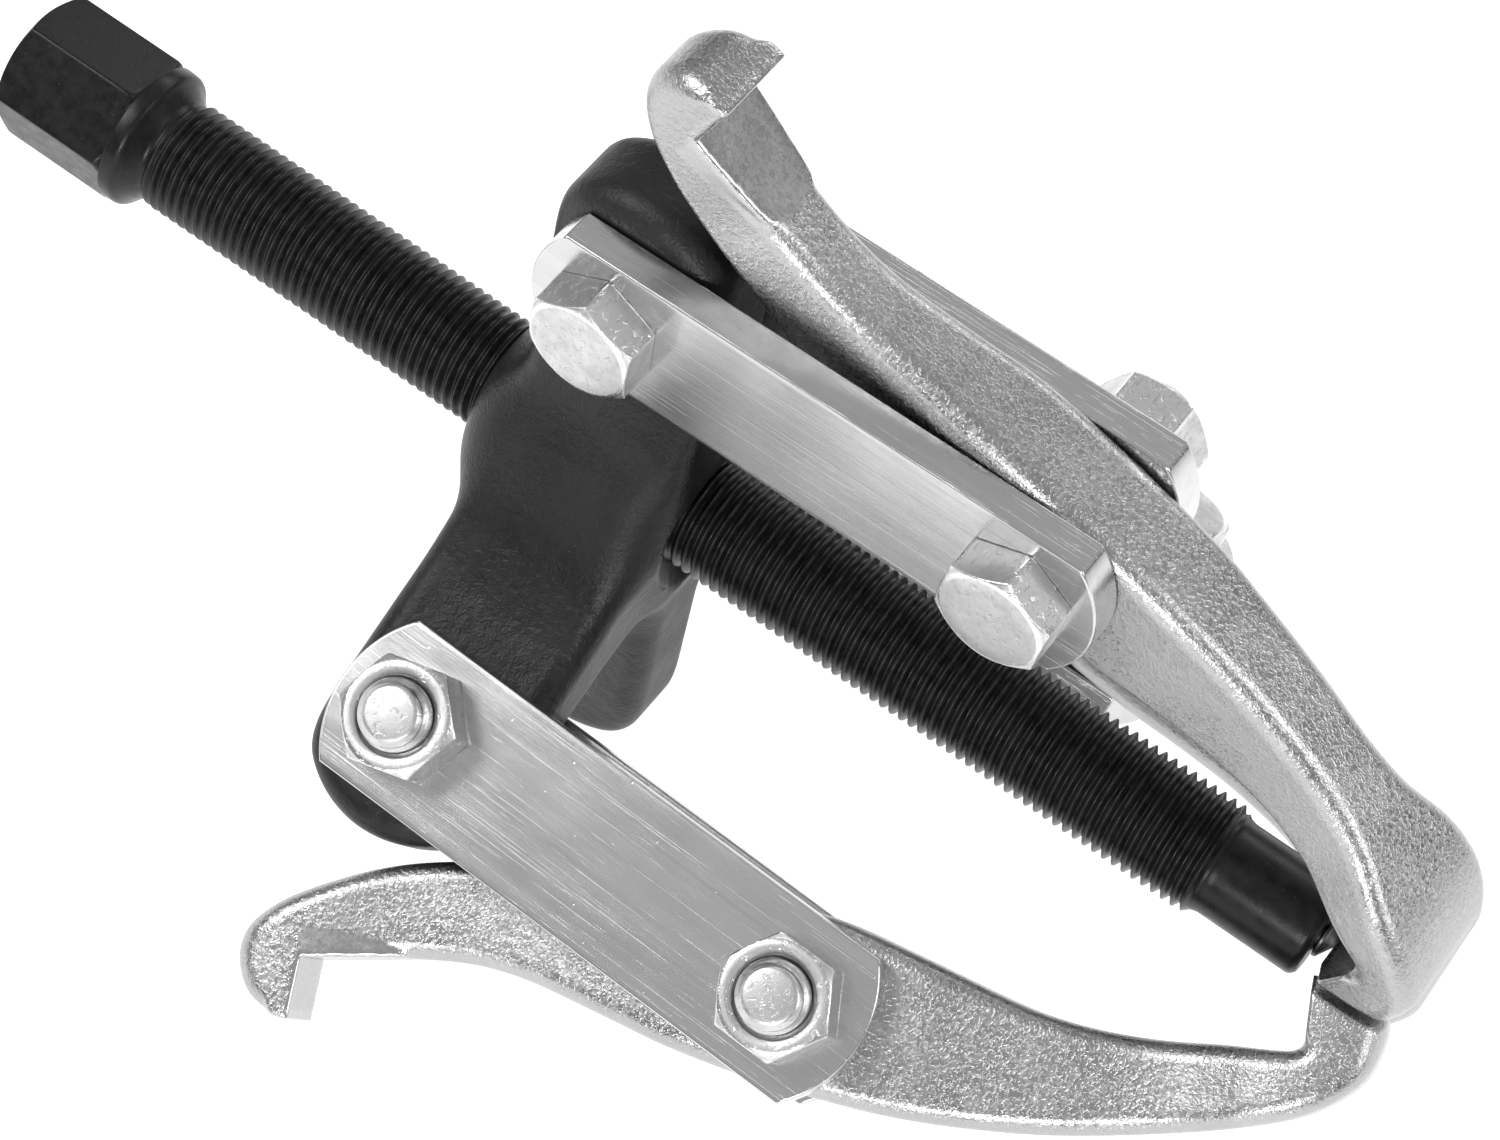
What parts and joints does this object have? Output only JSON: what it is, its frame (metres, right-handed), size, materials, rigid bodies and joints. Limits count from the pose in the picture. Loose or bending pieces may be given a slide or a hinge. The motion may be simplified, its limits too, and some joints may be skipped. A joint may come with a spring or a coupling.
{
  "type": "gear puller",
  "caption": "Reversible gear puller: a forged yoke with a hex-headed forcing screw and hinged two-hook jaws on paired straps.",
  "frame": {"origin": "on the forcing screw's axis, in the plane of the yoke's lug bolts", "axes": "+X along the forcing screw towards its point, +Z through the upper lug, +Y to the side the nuts of that lug's bolts are on"},
  "size_m": [0.2231, 0.1538, 0.1444],
  "materials": {
    "black_forging": "satin black oxide on a forging",
    "black_steel": "oiled black oxide",
    "point_steel": "hardened dark steel",
    "jaw_forging": "grainy zinc-plated forging",
    "strap_steel": "bright zinc-plated bar with fine lengthwise scratches",
    "plated_fastener": "bright zinc plate"
  },
  "bodies": {
    "yoke": {"yoke": "black_forging"},
    "point": {"centre_point": "point_steel"},
    "screw": {"forcing_screw": "black_steel"},
    "link_a": {"bolt_side_strap_a": "strap_steel", "nut_side_strap_a": "strap_steel", "yoke_bolt_a": "plated_fastener", "yoke_nut_a": "plated_fastener", "jaw_bolt_a": "plated_fastener", "jaw_nut_a": "plated_fastener"},
    "jaw_a": {"jaw_a": "jaw_forging"},
    "link_b": {"bolt_side_strap_b": "strap_steel", "nut_side_strap_b": "strap_steel", "yoke_bolt_b": "plated_fastener", "yoke_nut_b": "plated_fastener", "jaw_bolt_b": "plated_fastener", "jaw_nut_b": "plated_fastener"},
    "jaw_b": {"jaw_b": "jaw_forging"},
    "link_c": {"bolt_side_strap_c": "strap_steel", "nut_side_strap_c": "strap_steel", "yoke_bolt_c": "plated_fastener", "yoke_nut_c": "plated_fastener", "jaw_bolt_c": "plated_fastener", "jaw_nut_c": "plated_fastener"},
    "jaw_c": {"jaw_c": "jaw_forging"}
  },
  "joints": [
    {"name": "screw_travel", "type": "slide", "parent": "yoke", "child": "point", "axis": [1, 0, 0], "range_m": [-0.08, 0]},
    {"name": "screw_turn", "type": "hinge", "parent": "point", "child": "screw", "pos_m": [0, 0, 0], "axis": [1, 0, 0], "range_deg": [-19210, 0]},
    {"name": "link_a_swing", "type": "hinge", "parent": "yoke", "child": "link_a", "pos_m": [0, -0.03767, -0.02175], "axis": [0, 0.5, -0.866], "range_deg": [0, 60]},
    {"name": "jaw_a_pivot", "type": "hinge", "parent": "link_a", "child": "jaw_a", "pos_m": [0.05998, -0.03894, -0.02248], "axis": [0, 0.5, -0.866], "range_deg": [-30, 0]},
    {"name": "link_b_swing", "type": "hinge", "parent": "yoke", "child": "link_b", "pos_m": [0, 0, 0.0435], "axis": [0, -1, 0], "range_deg": [0, 60]},
    {"name": "jaw_b_pivot", "type": "hinge", "parent": "link_b", "child": "jaw_b", "pos_m": [0.05998, 0, 0.04497], "axis": [0, -1, 0], "range_deg": [-30, 0]},
    {"name": "link_c_swing", "type": "hinge", "parent": "yoke", "child": "link_c", "pos_m": [0, 0.03767, -0.02175], "axis": [0, 0.5, 0.866], "range_deg": [0, 60]},
    {"name": "jaw_c_pivot", "type": "hinge", "parent": "link_c", "child": "jaw_c", "pos_m": [0.05998, 0.03894, -0.02248], "axis": [0, 0.5, 0.866], "range_deg": [-30, 0]}
  ],
  "couplings": [
    {"joint": "screw_turn", "follows": "screw_travel", "rad_per_m": 4188.8},
    {"joint": "jaw_a_pivot", "follows": "link_a_swing", "ratio": -0.5},
    {"joint": "jaw_b_pivot", "follows": "link_b_swing", "ratio": -0.5},
    {"joint": "jaw_c_pivot", "follows": "link_c_swing", "ratio": -0.5}
  ]
}
